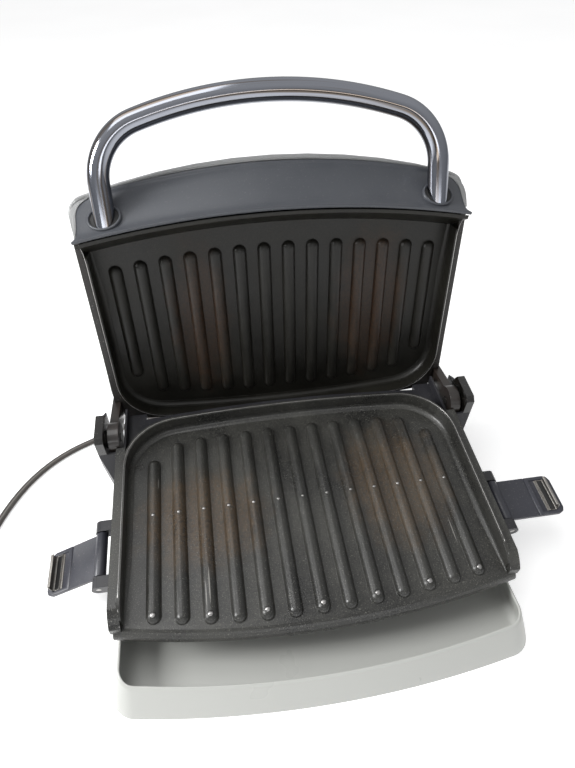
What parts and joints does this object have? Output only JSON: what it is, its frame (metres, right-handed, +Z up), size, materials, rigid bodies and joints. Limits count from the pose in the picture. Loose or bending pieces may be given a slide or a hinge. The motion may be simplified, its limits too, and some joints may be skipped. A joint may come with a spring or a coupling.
{
  "type": "countertop contact grill",
  "caption": "Countertop grill with a ribbed lower plate sloping to a drip tray, a tilting lid with a second plate and a tube handle.",
  "frame": {"origin": "on the counter, under the middle of the box round the open grill, its lead left out", "axes": "+X to the right seen from the front, +Y to the back, +Z up; the lid is open at rest"},
  "size_m": [0.578, 0.3099, 0.3313],
  "materials": {
    "base_shell": "satin slate",
    "inner_shell": "matt",
    "foot_rubber": "matt",
    "zinc_steel": "plain",
    "plate_coat": "speckled non-stick coating",
    "element_sheath": "matt",
    "reflector_sheet": "bright",
    "ceramic": "glazed",
    "wire_sleeve": "silicone sleeve",
    "hinge_black": "glossy",
    "pin_steel": "turned",
    "arm_brown": "glossy",
    "frame_dark": "satin",
    "cover_silver": "satin light warm silver",
    "panel_slate": "satin",
    "handle_chrome": "polished",
    "latch_slate": "satin, lightly scratched",
    "clip_metal": "plain",
    "tray_grey": "satin",
    "cord_sheath": "satin",
    "plug_rubber": "satin",
    "blade_brass": "bright"
  },
  "bodies": {
    "base": {"base_housing": "base_shell", "base_cover": "inner_shell", "rubber_feet": "foot_rubber", "base_screws": "zinc_steel", "lower_plate": "plate_coat", "lower_plate_screws": "zinc_steel", "lower_element": "element_sheath", "lower_reflector": "reflector_sheet", "thermostat": "ceramic", "thermal_fuse": "ceramic", "terminal_block": "ceramic", "base_wiring": "wire_sleeve", "left_hinge_bracket": "hinge_black", "right_hinge_bracket": "hinge_black", "bracket_screws": "zinc_steel", "left_latch_pin": "pin_steel", "right_latch_pin": "pin_steel", "strain_relief": "cord_sheath", "power_cord": "cord_sheath", "cord_coil": "cord_sheath", "plug_body": "plug_rubber", "plug_blades": "blade_brass"},
    "hinge_carriage": {"left_hinge_pin": "pin_steel", "right_hinge_pin": "pin_steel"},
    "lid": {"left_lid_arm": "arm_brown", "right_lid_arm": "arm_brown", "arm_screws": "zinc_steel", "lid_frame": "frame_dark", "lid_cover": "cover_silver", "cover_screws": "zinc_steel", "front_panel": "panel_slate", "upper_plate": "plate_coat", "upper_plate_screws": "zinc_steel", "upper_element": "element_sheath", "upper_reflector": "reflector_sheet", "lid_thermostat": "ceramic", "lid_wiring": "wire_sleeve", "handle_tube": "handle_chrome", "handle_rings": "panel_slate", "handle_screws": "zinc_steel"},
    "left_latch_flap": {"left_latch": "latch_slate", "left_latch_clip": "clip_metal"},
    "right_latch_flap": {"right_latch": "latch_slate", "right_latch_clip": "clip_metal"},
    "tray": {"drip_tray": "tray_grey"}
  },
  "joints": [
    {"name": "hinge_float", "type": "slide", "parent": "base", "child": "hinge_carriage", "axis": [0, -0.1219, 0.9925], "range_m": [-0.0276, 0]},
    {"name": "lid_tilt", "type": "hinge", "parent": "hinge_carriage", "child": "lid", "pos_m": [0, 0.05793, 0.07348], "axis": [1, 0, 0], "range_deg": [0, 101.3]},
    {"name": "left_latch_swing", "type": "hinge", "parent": "base", "child": "left_latch_flap", "pos_m": [-0.16, -0.04246, 0.05007], "axis": [0, 0.9925, 0.1219], "range_deg": [-17, 118]},
    {"name": "right_latch_swing", "type": "hinge", "parent": "base", "child": "right_latch_flap", "pos_m": [0.16, -0.04246, 0.05007], "axis": [0, -0.9925, -0.1219], "range_deg": [-45, 90]},
    {"name": "tray_slide", "type": "slide", "parent": "base", "child": "tray", "axis": [0, -1, 0], "range_m": [0, 0.12]}
  ],
  "couplings": [
    {"joint": "hinge_float", "follows": "lid_tilt", "m_per_rad": -0.015611}
  ]
}
